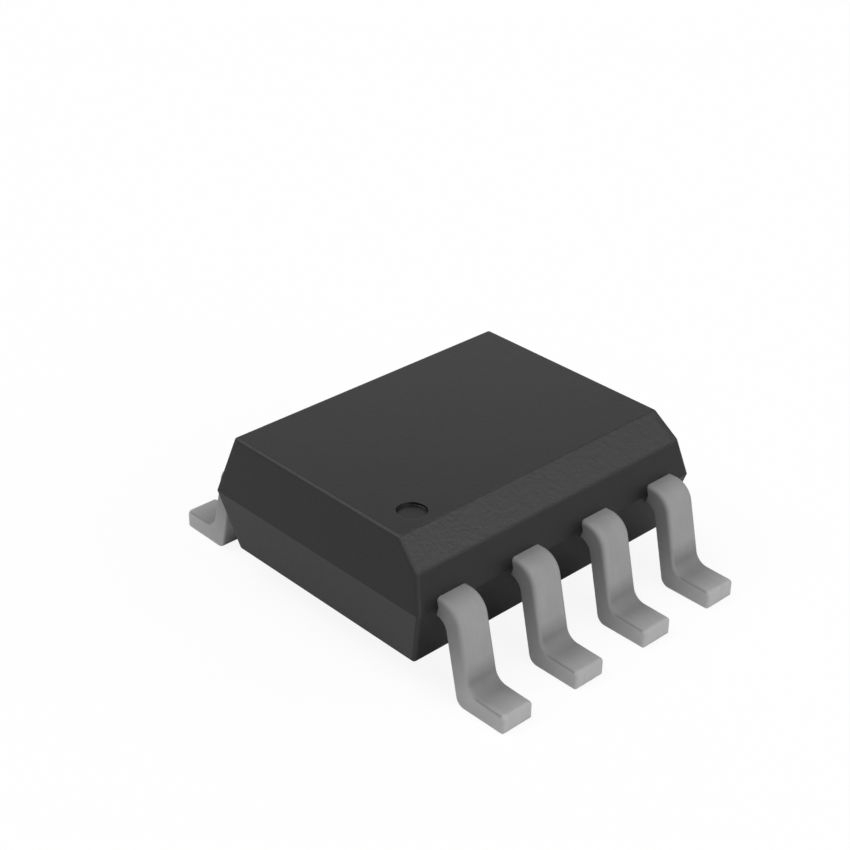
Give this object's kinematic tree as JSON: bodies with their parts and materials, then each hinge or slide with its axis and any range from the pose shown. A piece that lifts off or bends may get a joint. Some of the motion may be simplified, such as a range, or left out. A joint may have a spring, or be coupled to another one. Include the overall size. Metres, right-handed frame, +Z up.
{
  "type": "soic chip",
  "caption": "Surface-mount chip in a black moulded body with a bevelled side, a pin 1 dimple and gull-wing leads, with its paddle, die and bond wires inside",
  "frame": {"origin": "Middle of the footprint, on the plane that the feet stand on", "axes": "+X along the body from lead 1 to lead 4, +Y from the side of leads 1 to 4 to the side of leads 5 to 8, +Z up"},
  "size_m": [0.005, 0.0062, 0.0021],
  "materials": {
    "compound": "matt, finely textured",
    "plating": "matt tin plate on copper",
    "copper": "bare copper, satin",
    "epoxy": "silver-filled, dull",
    "silicon": "polished",
    "gold": "bright drawn gold"
  },
  "bodies": {
    "root": {"mould_body": "compound", "die_paddle": "copper", "die_attach": "epoxy", "silicon_die": "silicon", "lead_1": "plating", "lead_2": "plating", "lead_3": "plating", "lead_4": "plating", "lead_5": "plating", "lead_6": "plating", "lead_7": "plating", "lead_8": "plating", "bond_wire_1": "gold", "bond_wire_2": "gold", "bond_wire_3": "gold", "bond_wire_4": "gold", "bond_wire_5": "gold", "bond_wire_6": "gold", "bond_wire_7": "gold", "bond_wire_8": "gold"}
  },
  "joints": []
}
